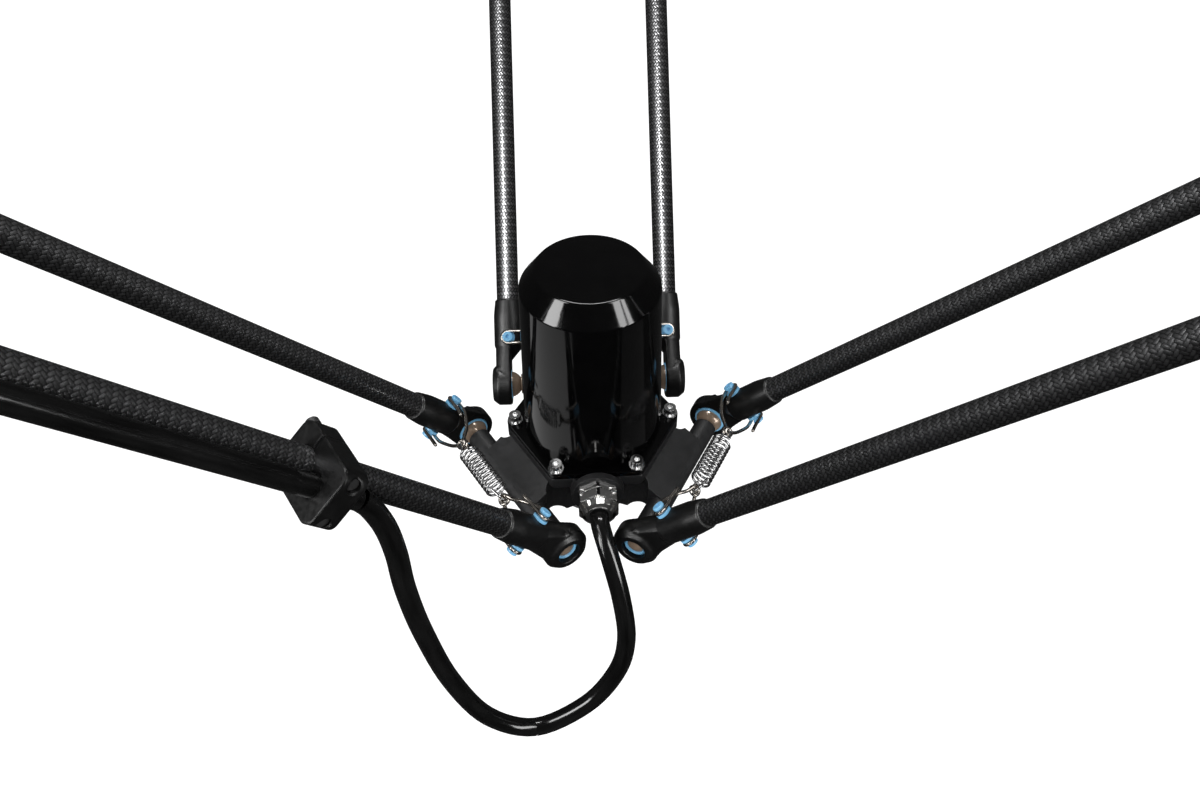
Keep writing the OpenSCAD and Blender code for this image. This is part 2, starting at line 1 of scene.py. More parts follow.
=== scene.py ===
"""Looks of a delta robot's travelling platform with its six carbon rods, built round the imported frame."""

import json
import math

import bmesh
import bpy
import numpy as np
from mathutils import Matrix, Vector

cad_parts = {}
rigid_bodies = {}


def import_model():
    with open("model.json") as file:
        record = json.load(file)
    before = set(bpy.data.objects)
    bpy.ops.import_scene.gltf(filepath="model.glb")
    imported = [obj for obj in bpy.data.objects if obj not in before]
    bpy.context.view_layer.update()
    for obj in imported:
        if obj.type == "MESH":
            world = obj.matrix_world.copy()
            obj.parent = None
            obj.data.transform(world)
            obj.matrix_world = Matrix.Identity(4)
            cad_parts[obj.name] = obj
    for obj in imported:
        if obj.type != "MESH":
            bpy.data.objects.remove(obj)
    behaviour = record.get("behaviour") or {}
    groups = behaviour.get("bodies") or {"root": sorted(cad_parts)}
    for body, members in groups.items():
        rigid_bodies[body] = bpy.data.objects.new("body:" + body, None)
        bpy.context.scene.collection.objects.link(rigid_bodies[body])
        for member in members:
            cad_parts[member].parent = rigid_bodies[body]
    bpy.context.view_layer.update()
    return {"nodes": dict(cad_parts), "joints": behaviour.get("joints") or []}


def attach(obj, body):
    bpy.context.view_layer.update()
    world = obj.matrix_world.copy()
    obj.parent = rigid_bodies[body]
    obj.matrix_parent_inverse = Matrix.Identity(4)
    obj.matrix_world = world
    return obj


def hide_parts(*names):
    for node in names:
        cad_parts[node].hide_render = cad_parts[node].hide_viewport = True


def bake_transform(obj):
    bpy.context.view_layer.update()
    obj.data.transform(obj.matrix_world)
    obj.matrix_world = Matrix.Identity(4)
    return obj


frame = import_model()

MM = 0.001
LEGS = ("rear", "left", "right")
JOINTS = {joint["name"]: joint for joint in frame["joints"]}

# Sizes in millimetres, as in the CAD
BALL_Z = 34
BALL_R = 8.25
BALL_SPACING = 101
BAR_END = 42.5
ROD_LENGTH = 480
TUBE_R = 7
TUBE_START = 36
SLEEVE_R = 9.2
SLEEVE_END = 54
NECK_LOW = 3
NECK_LENGTH = 21
NECK_LOW_R = 12.6
NECK_INNER = -1.4
NECK_DEPTH = 9.6
CAVITY_R = 9.65
PIN_HEIGHT = 29.3
PIN_GROOVE = 12
SPRING_R = 5.35
SPRING_WIRE_R = 0.75
COIL_HALF = 16.5
COILS = 11
HOOK_WIRE_R = 1.05
HOOK_BEND_R = 3.65
EYE_Y = 22.1
PIN_Y = BALL_SPACING / 2
CABLE_R = 5.25
CABLE_OFFSET = 12.4
CABLE_ANGLE = math.radians(80)


# ---------- camera ----------


CAMERA_PLACE = (-0.01518, -0.40543, 0.4806)
CAMERA_TURNS = (2.76, 45.24, 0.74)
LENS, SENSOR_WIDTH = 29.97, 36


def make_camera():
    """The camera, looking down at the cover from the gland's side."""
    yaw, pitch, roll = (math.radians(turn) for turn in CAMERA_TURNS)
    ahead = Vector((math.sin(yaw) * math.cos(pitch), math.cos(yaw) * math.cos(pitch), -math.sin(pitch)))
    level = Vector((math.cos(yaw), -math.sin(yaw), 0))
    down = ahead.cross(level)
    across = math.cos(roll) * level + math.sin(roll) * down
    up = math.sin(roll) * level - math.cos(roll) * down
    data = bpy.data.cameras.new("camera")
    data.lens = LENS
    data.sensor_width = SENSOR_WIDTH
    data.sensor_fit = "HORIZONTAL"
    data.clip_start = 0.01
    data.clip_end = 50
    camera = bpy.data.objects.new("camera", data)
    bpy.context.scene.collection.objects.link(camera)
    axes = Matrix((across, up, -ahead)).transposed().to_4x4()
    camera.matrix_world = Matrix.Translation(CAMERA_PLACE) @ axes
    bpy.context.scene.camera = camera


make_camera()


# ---------- places ----------


def columns(x, y, z, origin):
    """The matrix whose axes are x, y and z and whose origin is in metres."""
    turn = Matrix((x, y, z)).transposed().to_4x4()
    return Matrix.Translation(origin) @ turn


def joint_place(name):
    return Vector(JOINTS[name]["pos_m"])


class Leg:
    """A leg's frames at rest: x along the spring pins, y through the balls, z up the rods."""

    def __init__(self, name):
        self.name = name
        ball = joint_place(f"{name}_lean_a")
        self.along_rod = (joint_place(f"{name}_upper_lean") - ball).normalized()
        self.across = Vector(JOINTS[f"{name}_lean_a"]["axis"]).normalized()
        self.through = Vector(JOINTS[f"{name}_swing"]["axis"]).normalized()
        self.up = self.across.cross(self.through)
        self.centre = joint_place(f"{name}_swing")

    def bar(self, height):
        """Frame on the leg's middle line, a height in millimetres up the rods."""
        origin = self.centre + self.along_rod * height * MM
        return columns(self.across, self.through, self.up, origin)

    def rod(self, side):
        """Frame of one rod at its lower ball; side is 1 for rod a and -1 for rod b."""
        ball = joint_place(f"{self.name}_lean_{'a' if side > 0 else 'b'}")
        y = self.along_rod.cross(self.across)
        return columns(self.across, y, self.along_rod, ball)

    def elbow(self):
        """Frame of the elbow bar, at its middle."""
        origin = joint_place(f"{self.name}_elbow_turn")
        return columns(self.across, self.through, self.up, origin)


legs = {name: Leg(name) for name in LEGS}
SCALE = Matrix.Scale(MM, 4)
FLIP_Y = Matrix.Scale(-1, 4, (0, 1, 0))


def turned_over():
    """Maps a rod's lower end onto its upper end, in millimetres."""
    return Matrix.Translation((0, 0, ROD_LENGTH)) @ Matrix.Scale(-1, 4, (0, 0, 1))


# ---------- meshes ----------


def curve_through(points, steps):
    """A smooth line through the points, with a number of steps in each stretch."""
    p = [Vector(point) for point in points]
    p = [2 * p[0] - p[1], *p, 2 * p[-1] - p[-2]]
    line = []
    for a, b, c, d in zip(p, p[1:], p[2:], p[3:]):
        for step in range(steps):
            u = step / steps
            line.append(
                b
                + u * (c - a) / 2
                + u * u * (a - 2.5 * b + 2 * c - d / 2)
                + u * u * u * (1.5 * (b - c) + (d - a) / 2)
            )
    return [*line, p[-2]]


def rounded(profile, steps=5):
    """A profile of (radius, height, fillet) corners with each fillet drawn as a short arc."""
    points = []
    last = len(profile) - 1
    for i, corner in enumerate(profile):
        here = Vector(corner[:2])
        fillet = corner[2] if len(corner) > 2 else 0
        if fillet == 0 or i in (0, last):
            points.append(here)
            continue
        before = Vector(profile[i - 1][:2]) - here
        after = Vector(profile[i + 1][:2]) - here
        half = before.angle(after) / 2
        reach = min(fillet / math.tan(half), 0.48 * before.length, 0.48 * after.length)
        start = here + before.normalized() * reach
        end = here + after.normalized() * reach
        for step in range(steps + 1):
            u = step / steps
            points.append(start.lerp(here, u).lerp(here.lerp(end, u), u))
    return points


def rings_to_mesh(rings, uv_rows=None, uv_width=1.0):
    """A tube skin over rings with the same number of points, with UVs round and along it."""
    sides = len(rings[0])
    points = [point for ring in rings for point in ring]
    faces, uvs = [], []
    for row in range(len(rings) - 1):
        for j in range(sides):
            k = (j + 1) % sides
            faces.append((row * sides + j, row * sides + k, (row + 1) * sides + k, (row + 1) * sides + j))
            if uv_rows:
                left, right = uv_width * j / sides, uv_width * (j + 1) / sides
                low, high = uv_rows[row], uv_rows[row + 1]
                uvs.append(((left, low), (right, low), (right, high), (left, high)))
    return points, faces, uvs


def lathe(profile, sides=64, uv=False):
    """A profile turned about Z."""
    rings, heights, travelled = [], [], 0.0
    for i, point in enumerate(profile):
        if i:
            travelled += (Vector(point[:2]) - Vector(profile[i - 1][:2])).length
        heights.append(travelled)
        turns = [2 * math.pi * j / sides for j in range(sides)]
        rings.append([Vector((point[0] * math.cos(t), point[0] * math.sin(t), point[1])) for t in turns])
    width = 2 * math.pi * max(point[0] for point in profile)
    return rings_to_mesh(rings, heights if uv else None, width)


def sweep(line, radius, sides=12, capped=True):
    """A round wire along a line, with rounded ends and UVs in the line's own unit."""
    line = [Vector(point) for point in line]
    ahead = [(b - a).normalized() for a, b in zip([line[0], *line[:-1]], [*line[1:], line[-1]])]
    ahead[0] = (line[1] - line[0]).normalized()
    ahead[-1] = (line[-1] - line[-2]).normalized()
    side = ahead[0].orthogonal().normalized()
    rings, rows, travelled = [], [], 0.0
    for i, (point, along) in enumerate(zip(line, ahead)):
        if i:
            travelled += (point - line[i - 1]).length
        side = (side - side.dot(along) * along).normalized()
        other = along.cross(side)
        sizes = [(0.0, 1.0)]
        if capped and i == 0:
            sizes = [(-1.0, 0.0), (-0.92, 0.4), (-0.7, 0.72), (-0.38, 0.93), (0.0, 1.0)]
        if capped and i == len(line) - 1:
            sizes = [(0.0, 1.0), (0.38, 0.93), (0.7, 0.72), (0.92, 0.4), (1.0, 0.0)]
        for shift, size in sizes:
            middle = point + along * shift * radius * 0.6
            turns = [2 * math.pi * j / sides for j in range(sides)]
            rings.append(
                [middle + radius * size * (math.cos(t) * side + math.sin(t) * other) for t in turns]
            )
            rows.append(travelled + shift * radius)
    return rings_to_mesh(rings, rows, 2 * math.pi * radius)


def make_piece(name, parts, materials, sharp=35):
    """One object from (matrix, mesh, material number) parts, in metres in the row frame."""
    mesh = bmesh.new()
    layer = mesh.loops.layers.uv.new("UVMap")
    for matrix, (points, faces, uvs), number in parts:
        made = [mesh.verts.new(matrix @ Vector(point)) for point in points]
        for i, face in enumerate(faces):
            new = mesh.faces.new([made[j] for j in face])
            new.material_index = number
            if uvs:
                for loop, uv in zip(new.loops, uvs[i]):
                    loop[layer].uv = uv
    bmesh.ops.remove_doubles(mesh, verts=mesh.verts, dist=2e-6)
    bmesh.ops.dissolve_degenerate(mesh, edges=mesh.edges, dist=1e-7)
    bmesh.ops.recalc_face_normals(mesh, faces=mesh.faces)
    data = bpy.data.meshes.new(name)
    mesh.to_mesh(data)
    mesh.free()
    data.shade_smooth()
    data.set_sharp_from_angle(angle=math.radians(sharp))
    for material in materials:
        data.materials.append(material)
    piece = bpy.data.objects.new(name, data)
    bpy.context.scene.collection.objects.link(piece)
    return piece


# ---------- materials ----------


class Paint:
    """A Principled material with small helpers for the nodes that drive its detail."""

    def __init__(self, name, **shader):
        self.material = bpy.data.materials.new(name)
        self.material.use_nodes = True
        self.tree = self.material.node_tree
        self.shader = self.tree.nodes["Principled BSDF"]
        self.place = self.tree.nodes.new("ShaderNodeTexCoord")
        for socket, value in shader.items():
            self.shader.inputs[socket.replace("_", " ")].default_value = value

    def node(self, kind, inputs=(), **settings):
        made = self.tree.nodes.new(kind)
        for key, value in settings.items():
            setattr(made, key, value)
        for key, value in dict(inputs).items():
            if isinstance(value, bpy.types.NodeSocket):
                self.tree.links.new(value, made.inputs[key])
            else:
                made.inputs[key].default_value = value
        return made

    def maths(self, operation, *values):
        return self.node("ShaderNodeMath", dict(enumerate(values)), operation=operation).outputs[0]

    def noise(self, scale, detail=4.0, where="Object", stretch=None):
        vector = self.place.outputs[where]
        if stretch:
            vector = self.node("ShaderNodeMapping", {"Vector": vector, "Scale": stretch}).outputs[0]
        inputs = {"Vector": vector, "Scale": scale, "Detail": detail}
        return self.node("ShaderNodeTexNoise", inputs).outputs[0]

    def ramp(self, value, low, high, start=0.35, end=0.65):
        """value mapped from start..end to low..high."""
        inputs = {"Value": value, "From Min": start, "From Max": end, "To Min": low, "To Max": high}
        return self.node("ShaderNodeMapRange", inputs).outputs[0]

    def tint(self, value, dark, light):
        """A colour between dark and light."""
        inputs = {0: value, 6: (*dark, 1.0), 7: (*light, 1.0)}
        return self.node("ShaderNodeMix", inputs, data_type="RGBA").outputs[2]

    def drive(self, socket, value):
        self.tree.links.new(value, self.shader.inputs[socket])

    def bump(self, height, strength, distance, bevel=0.0):
        inputs = {"Height": height, "Strength": strength, "Distance": distance * MM}
        if bevel:
            inputs["Normal"] = self.node("ShaderNodeBevel", {"Radius": bevel * MM}, samples=4).outputs[0]
        self.drive("Normal", self.node("ShaderNodeBump", inputs).outputs[0])


def surface(name, dark, light, rough, scale, strength, distance, bevel=0.0, **shader):
    """A material whose colour and roughness wander a little over a fine bump."""
    paint = Paint(name, **shader)
    broad = paint.noise(60, 3.0)
    fine = paint.noise(scale, 5.0)
    paint.drive("Base Color", paint.tint(paint.ramp(broad, 0, 1), dark, light))
    paint.drive("Roughness", paint.ramp(paint.noise(scale / 4, 3.0), rough[0], rough[1]))
    paint.bump(fine, strength, distance, bevel)
    return paint.material


def worn_metal(name, dark, light, rough, bevel=0.0, where="Object", stretch=(1, 1, 1), scale=900):
    """Bare metal with drawn streaks and faint stains."""
    paint = Paint(name, Metallic=1.0)
    streaks = paint.noise(scale, 6.0, where, stretch)
    stain = paint.noise(140, 4.0)
    both = paint.maths("MULTIPLY", paint.ramp(streaks, 0.75, 1.0), paint.ramp(stain, 0.8, 1.0))
    paint.drive("Base Color", paint.tint(both, dark, light))
    paint.drive("Roughness", paint.ramp(streaks, rough[0], rough[1]))
    paint.bump(streaks, 0.03, 0.02, bevel)
    return paint.material


# Strands of carbon counted round the tube
TOWS_ROUND = 20


def carbon_weave():
    """Braided carbon at 45 degrees to the tube in a 2 by 2 twill, under a clear coat."""
    paint = Paint("carbon", Metallic=1.0, Coat_Weight=0.5, Coat_Roughness=0.045, Coat_IOR=1.5)
    tow = 2 * math.pi * TUBE_R / (TOWS_ROUND * math.sqrt(2))
    split = paint.node("ShaderNodeSeparateXYZ", {"Vector": paint.place.outputs["UV"]})
    factor = 1 / (tow * math.sqrt(2))
    u = paint.maths("MULTIPLY", split.outputs[0], factor)
    v = paint.maths("MULTIPLY", split.outputs[1], factor)
    a, b = paint.maths("ADD", u, v), paint.maths("SUBTRACT", u, v)
    row_a, row_b = paint.maths("FLOOR", a), paint.maths("FLOOR", b)
    in_a, in_b = paint.maths("SUBTRACT", a, row_a), paint.maths("SUBTRACT", b, row_b)
    turn = paint.maths("FLOORED_MODULO", paint.maths("SUBTRACT", row_a, row_b), 4.0)
    a_on_top = paint.maths("LESS_THAN", turn, 1.5)
    along_a = paint.maths("MULTIPLY", paint.maths("ADD", paint.maths("SUBTRACT", 1.0, turn), in_b), 0.5)
    along_b = paint.maths("MULTIPLY", paint.maths("ADD", paint.maths("SUBTRACT", turn, 2.0), in_a), 0.5)

    def crown(across, along):
        wide = paint.maths("SINE", paint.maths("MULTIPLY", across, math.pi))
        long = paint.maths("SINE", paint.maths("MULTIPLY", along, math.pi))
        return paint.maths("MULTIPLY", paint.maths("POWER", wide, 0.7), paint.maths("POWER", long, 0.6))

    def pick(first, second):
        inputs = {0: a_on_top, 2: second, 3: first}
        return paint.node("ShaderNodeMix", inputs, data_type="FLOAT").outputs[0]

    height = pick(crown(in_a, along_a), crown(in_b, along_b))
    fibres = pick(
        paint.noise(1.0, 2.0, "UV", (14, 14, 1)),
        paint.noise(1.3, 2.0, "UV", (11, 17, 1)),
    )
    # Painted light and shade: the colour is brighter on the crown of each tow and darker towards the gaps
    # between tows, and the tows running the other way (b) are painted darker, at 0.62, as a painted sheen
    # that differs by direction; the fibre noise on top is the fibres' own grain.
    painted_tow_shading = paint.maths("MULTIPLY", height, pick(1.0, 0.62))
    lit = paint.maths("MULTIPLY", painted_tow_shading, paint.ramp(fibres, 0.75, 1.15))
    paint.drive("Base Color", paint.tint(lit, (0.004, 0.004, 0.004), (0.5, 0.5, 0.51)))
    paint.drive("Roughness", paint.ramp(height, 0.5, 0.3, 0.0, 1.0))
    paint.bump(height, 0.85, 0.16)
    return paint.material


def cable_jacket():
    """Shiny black jacket with faint long drawing lines and the lay of the cores beneath."""
    paint = Paint("cable_jacket", Specular_IOR_Level=0.3)
    lay = paint.noise(0.25, 3.0, "UV", (1, 0.12, 1))
    fine = paint.noise(2.5, 4.0, "UV", (3, 0.1, 1))
    tint = paint.tint(paint.ramp(lay, 0, 1), (0.002, 0.002, 0.002), (0.006, 0.006, 0.006))
    paint.drive("Base Color", tint)
    paint.drive("Roughness", paint.ramp(fine, 0.1, 0.2))
    paint.bump(lay, 0.25, 0.25)
    return paint.material


MATERIALS = {
    "cast": surface(
        "cast", (0.008, 0.008, 0.0085), (0.012, 0.012, 0.013), (0.42, 0.55), 1600, 0.2, 0.1, 0.9,
        Specular_IOR_Level=0.3,
    ),
    "cover": surface(
        "cover", (0.0006, 0.0006, 0.0007), (0.0012, 0.0012, 0.0013), (0.06, 0.12), 300, 0.04, 0.08,
        Specular_IOR_Level=0.25,
    ),
    "rubber": surface("rubber", (0.006, 0.006, 0.006), (0.013, 0.013, 0.013), (0.6, 0.8), 2200, 0.35, 0.1),
    "moulded": surface(
        "moulded", (0.002, 0.002, 0.002), (0.004, 0.004, 0.004), (0.34, 0.44), 2400, 0.12, 0.05,
        Specular_IOR_Level=0.25,
    ),
    "clamp": surface(
        "clamp", (0.002, 0.002, 0.002), (0.0045, 0.0045, 0.0045), (0.3, 0.4), 2000, 0.15, 0.07, 1.8,
        Specular_IOR_Level=0.25,
    ),
    "blue": surface(
        "blue", (0.16, 0.44, 0.7), (0.22, 0.52, 0.8), (0.32, 0.45), 1500, 0.12, 0.05,
        Subsurface_Weight=0.08, Subsurface_Radius=(0.001, 0.0015, 0.002), Specular_IOR_Level=0.35,
    ),
    "glue": surface("glue", (0.03, 0.03, 0.03), (0.06, 0.06, 0.058), (0.25, 0.4), 1500, 0.2, 0.05),
    "board": surface("board", (0.02, 0.1, 0.05), (0.04, 0.16, 0.08), (0.4, 0.6), 900, 0.3, 0.1),
    "bronze": surface(
        "bronze", (0.18, 0.125, 0.088), (0.27, 0.2, 0.145), (0.16, 0.26), 1200, 0.05, 0.04, Metallic=0.25,
    ),
    "screw_black": surface(
        "screw_black", (0.012, 0.012, 0.012), (0.03, 0.03, 0.03), (0.3, 0.5), 1800, 0.2, 0.05, 0.25,
    ),
    "steel": worn_metal("steel", (0.6, 0.6, 0.6), (0.82, 0.82, 0.82), (0.14, 0.22), 0.25),
    "spring": worn_metal(
        "spring", (0.5, 0.5, 0.51), (0.74, 0.74, 0.74), (0.14, 0.22), 0.0, "UV", (1.2, 0.1, 1), 3.0,
    ),
    "hook": worn_metal(
        "hook", (0.4, 0.36, 0.32), (0.62, 0.58, 0.53), (0.14, 0.22), 0.0, "UV", (1.2, 0.1, 1), 3.0,
    ),
    "nickel": worn_metal("nickel", (0.72, 0.71, 0.69), (0.9, 0.89, 0.87), (0.06, 0.12), 0.35),
    "iron": worn_metal("iron", (0.25, 0.25, 0.26), (0.5, 0.5, 0.51), (0.3, 0.5), 0.3),
    "aluminium": worn_metal("aluminium", (0.55, 0.55, 0.56), (0.78, 0.78, 0.79), (0.25, 0.4), 0.3),
    "carbon": carbon_weave(),
    "cable": cable_jacket(),
}


# ---------- cable ----------

# The hanging stretch, from inside the gland round to the first clamp, in millimetres
LOOP_ROUTE = [
    (0, -42, 47), (0, -54, 47), (0, -65, 47), (0.6, -73, 46), (4.5, -86, 37), (10, -99, 15),
    (12, -110, -8), (6, -116, -32), (-12, -121, -58), (-42, -126, -72), (-68, -128, -52), (-84, -129, -8),
    (-92, -131, 44), (-95, -132, 84), (-95, -132, 112), (-96.5, -132.5, 132), (-100, -134, 148),
    (-103.4, -135.6, 156.2),
]
# The route's lowest point, where the loop is divided
LOOP_LOWEST = 9
# The stretch beside the left rod, as distances out from the cable's line and up the rod
RUN_ROUTE = [(0, 161), (0, 200), (0, 280), (0, 383)]


def along_left_rod():
    """Frame of the cable's line beside the left rod, in metres."""
    beside = Matrix.Rotation(CABLE_ANGLE, 4, "Z") @ Matrix.Translation((CABLE_OFFSET * MM, 0, 0))
    return legs["left"].rod(1) @ beside


def cable_piece(name, line):
    part = sweep([point / MM for point in line], CABLE_R, sides=28, capped=False)
    return make_piece(name, [(SCALE, part, 0)], [MATERIALS["cable"]], sharp=60)


def make_cable():
    """The platform's cable in three pieces: the hanging loop in two halves divided at its lowest point, and
    the stretch beside the left rod, which rides with that rod.
    """
    steps = 6
    loop = [point * MM for point in curve_through(LOOP_ROUTE, steps)]
    cut = LOOP_LOWEST * steps
    from_gland, to_clamp = loop[: cut + 1], loop[cut:]
    first = cable_piece("cable_from_gland", from_gland)
    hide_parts("cable_loop")
    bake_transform(first)
    second = cable_piece("cable_to_clamp", to_clamp)
    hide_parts("cable_loop")
    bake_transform(second)
    place = along_left_rod()
    run = curve_through([place @ (Vector((out, 0, up)) * MM) for out, up in RUN_ROUTE], 4)
    third = cable_piece("cable_beside_rod", run)
    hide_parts("cable_run")
    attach(third, "left_rod_a")


make_cable()


# ---------- rods ----------


def smooth_mesh(points, edges, weights, rounds):
    """Moves each point towards the middle of its neighbours, by its weight, for some rounds."""
    count = np.bincount(edges.ravel(), minlength=len(points))[:, None]
    for _ in range(rounds):
        total = np.zeros_like(points)
        for axis in range(3):
            total[:, axis] += np.bincount(edges[:, 0], points[edges[:, 1], axis], len(points))
            total[:, axis] += np.bincount(edges[:, 1], points[edges[:, 0], axis], len(points))
        points += weights[:, None] * (total / np.maximum(count, 1) - points)
    return points


def neck_block(low, high, inner):
    """A stretch of the neck in millimetres: a cone cut to a slab, from x = inner outwards."""
    steps = 12
    rings = []
    for z in (low, (low + high) / 2, high):
        radius = NECK_LOW_R + (SLEEVE_R - NECK_LOW_R) * (z - NECK_LOW) / NECK_LENGTH
        levels = [NECK_INNER + NECK_DEPTH * i / steps for i in range(steps + 1)]
        edge = [(math.sqrt(radius**2 - y**2), y) for y in levels]
        back = [(inner, y) for y in reversed(levels)] if inner else [(-x, y) for x, y in reversed(edge)]
        rings.append([Vector((x, y, z)) for x, y in [*edge, *back]])
    points, faces, uvs = rings_to_mesh(rings)
    count = len(rings[0])
    faces += [tuple(range(count)), tuple(range(3 * count - 1, 2 * count - 1, -1))]
    return points, faces, uvs


def moulded_rod_end():
    """A rod end in millimetres at its ball: the ball ring and the sleeve moulded in one flowing piece."""
    bowl = [
        (CAVITY_R * math.cos(t), CAVITY_R * math.sin(t))
        for t in [math.radians(d) for d in range(-8, 46, 6)]
    ]
    ring = [
        (bowl[0][0], -1.5), (12.4, -1.5), (13.2, -0.7), (13.2, 6.9), (10.3, 10.5),
        (7.0, 10.5), (6.8, 10.3), (6.8, 6.9), *reversed(bowl),
    ]
    sleeve = [
        (0, 14.4), (1.4, 14.6), (8.6, 23.2), (SLEEVE_R, 24.6), (SLEEVE_R, 43.5), (9.0, 46),
        (8.1, SLEEVE_END - 0.3), (7.8, SLEEVE_END), (TUBE_R + 0.05, SLEEVE_END), (TUBE_R + 0.05, 50),
        (0, 50),
    ]
    cheek = neck_block(NECK_LOW, 10.4, 10.4)
    parts = [
        (Matrix.Rotation(math.radians(-90), 4, "X"), lathe([*ring, ring[0]], 96), 0),
        (Matrix.Identity(4), lathe(sleeve, 96), 0),
        (Matrix.Identity(4), neck_block(9.9, NECK_LOW + NECK_LENGTH, 0), 0),
        (Matrix.Identity(4), cheek, 0),
        (Matrix.Scale(-1, 4, (1, 0, 0)), cheek, 0),
    ]
    raw = make_piece("rod_end_raw", parts, [])
    fuse = raw.modifiers.new("fuse", "REMESH")
    fuse.mode = "VOXEL"
    fuse.voxel_size = 0.5
    fused = bpy.data.meshes.new_from_object(raw.evaluated_get(bpy.context.evaluated_depsgraph_get()))
    points = np.zeros(len(fused.vertices) * 3)
    fused.vertices.foreach_get("co", points)
    points = points.reshape(-1, 3)
    edges = np.zeros(len(fused.edges) * 2, int)
    fused.edges.foreach_get("vertices", edges)
    edges = edges.reshape(-1, 2)
    # Only the neck is smoothed a lot, and the cavity round the ball keeps its shape
    from_ball = np.linalg.norm(points, axis=1)
    near_neck = np.clip(1 - np.abs(points[:, 2] - 13) / 8, 0, 1)
    neck = near_neck * np.clip((from_ball - 10.6) / 1.5, 0, 1)
    points = smooth_mesh(points, edges, np.full(len(points), 0.5), 2)
    points = smooth_mesh(points, edges, 0.6 * neck, 12)
    faces = [tuple(face.vertices) for face in fused.polygons]
    bpy.data.objects.remove(raw)
    bpy.data.meshes.remove(fused)
    return [Vector(point) for point in points], faces, []


def turned_pin():
    """A spring pin in millimetres, out along Z from the rod's axis."""
    return lathe(
        rounded(
            [
                (0, 4), (2, 4), (2, 8.9), (4.3, 8.9, 0.2), (4.3, 10.5, 0.35), (2.5, 10.9, 0.2),
                (2.3, 12), (2.5, 13.1, 0.2), (3.2, 13.35, 0.3), (3.2, 15, 0.55), (1.25, 15, 0.2),
                (1.1, 13.7, 0.1), (0, 13.7),
            ]
        ),
        40,
    )


def glue_line():
    """The thin bead of glue where the tube enters its sleeve, in millimetres."""
    bead = [(TUBE_R - 0.05, 53.6), (7.3, 53.7, 0.1), (7.2, 54.05, 0.15), (TUBE_R - 0.05, 54.3)]
    return lathe(rounded(bead), 64)


def carbon_tube():
    low, high = TUBE_START, ROD_LENGTH - TUBE_START
    wall = 1
    rings = [(TUBE_R - wall, low), (TUBE_R, low), (TUBE_R, high), (TUBE_R - wall, high), (TUBE_R - wall, low)]
    return lathe(rings, 72, uv=True)


def make_rods():
    end, pin, bead = moulded_rod_end(), turned_pin(), glue_line()
    tube = carbon_tube()
    for leg in legs.values():
        for side, letter in ((1, "a"), (-1, "b")):
            body = f"{leg.name}_rod_{letter}"
            place = leg.rod(side) @ SCALE
            outward = Matrix.Identity(4) if side > 0 else FLIP_Y
            both = (place, place @ turned_over())
            ends = [(where @ outward, end, 0) for where in both] + [(where, bead, 1) for where in both]
            pins = [
                (where @ Matrix.Translation((0, 0, PIN_HEIGHT)) @ Matrix.Rotation(turn, 4, "Y"), pin, 0)
                for where in both
                for turn in (math.pi / 2, -math.pi / 2)
            ]
            pieces = [
                (f"{leg.name}_carbon_{letter}", [(place, tube, 0)], ["carbon"], "tube", "carbon"),
                (f"{leg.name}_sockets_{letter}", ends, ["moulded", "glue"], "rod_ends", "rod_end_black"),
                (f"{leg.name}_pins_{letter}", pins, ["blue"], "spring_pins", "blue_plastic"),
            ]
            for name, parts, looks, node, slot in pieces:
                piece = make_piece(name, parts, [MATERIALS[look] for look in looks], sharp=50)
                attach(piece, body)
                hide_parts(f"{leg.name}_{node}_{letter}")


# ---------- balls and cups ----------


def cup_shell():
    """A cup in millimetres: a thin bowl round the ball, with a soft rim and a round hole in its floor."""
    inner, outer = BALL_R + 0.05, BALL_R + 1.35
    rim, hole = math.radians(-11), math.radians(55)
    steps = 16
    inside = [rim + (hole - rim) * i / steps for i in range(steps + 1)]
    profile = [(inner * math.cos(t), inner * math.sin(t)) for t in inside]
    for t in reversed(inside):
        radius = outer - 0.45 * min(1.0, max(0.0, -t / math.radians(11)))
        profile.append((radius * math.cos(t), radius * math.sin(t)))
    return lathe([*profile, profile[0]], 72)


def ball_and_stud():
    """A ball in millimetres on its turned stud, which points along -Z into the bar."""
    neck = BALL_SPACING / 2 - BAR_END
    arc = [math.radians(d) for d in range(90, -58, -4)]
    ball = [(BALL_R * math.cos(t), BALL_R * math.sin(t)) for t in arc]
    stud = rounded([
        (4.3, -7.15), (4.3, 0.6 - neck, 0.1), (6.2, 0.6 - neck, 0.2), (6.2, -neck), (3, -neck),
        (3, -neck - 13), (0, -neck - 13),
    ])
    return lathe([*ball, *[tuple(point) for point in stud]], 72)


def ball_places(bar):
    """The two ball centres of a bar, with Z pointing out of the bar."""
    for side in (1, -1):
        outward = Matrix.Rotation(-side * math.pi / 2, 4, "X")
        yield bar @ Matrix.Translation((0, side * BALL_SPACING / 2, 0)) @ outward


def make_balls():
    cup, ball = cup_shell(), ball_and_stud()
    platform_balls = []
    for leg in legs.values():
        low, high = leg.bar(0) @ SCALE, leg.elbow() @ SCALE
        platform_balls += [(where, ball, 0) for where in ball_places(low)]
        pieces = [
            (f"{leg.name}_bowls", cup, low, "blue", "cups", "cups", "blue_plastic"),
            (f"{leg.name}_upper_bowls", cup, high, "blue", "upper_cups", "upper_cups", "blue_plastic"),
            (f"{leg.name}_upper_balls", ball, high, "bronze", "elbow_balls", "elbow", "bronze_ball"),
        ]
        for name, part, bar, look, node, body, slot in pieces:
            piece = make_piece(name, [(where, part, 0) for where in ball_places(bar)], [MATERIALS[look]])
            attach(piece, f"{leg.name}_{body}")
            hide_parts(f"{leg.name}_{node}")
    piece = make_piece("platform_balls", platform_balls, [MATERIALS["bronze"]])
    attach(piece, "platform")
    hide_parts("ball_studs")


# ---------- springs ----------


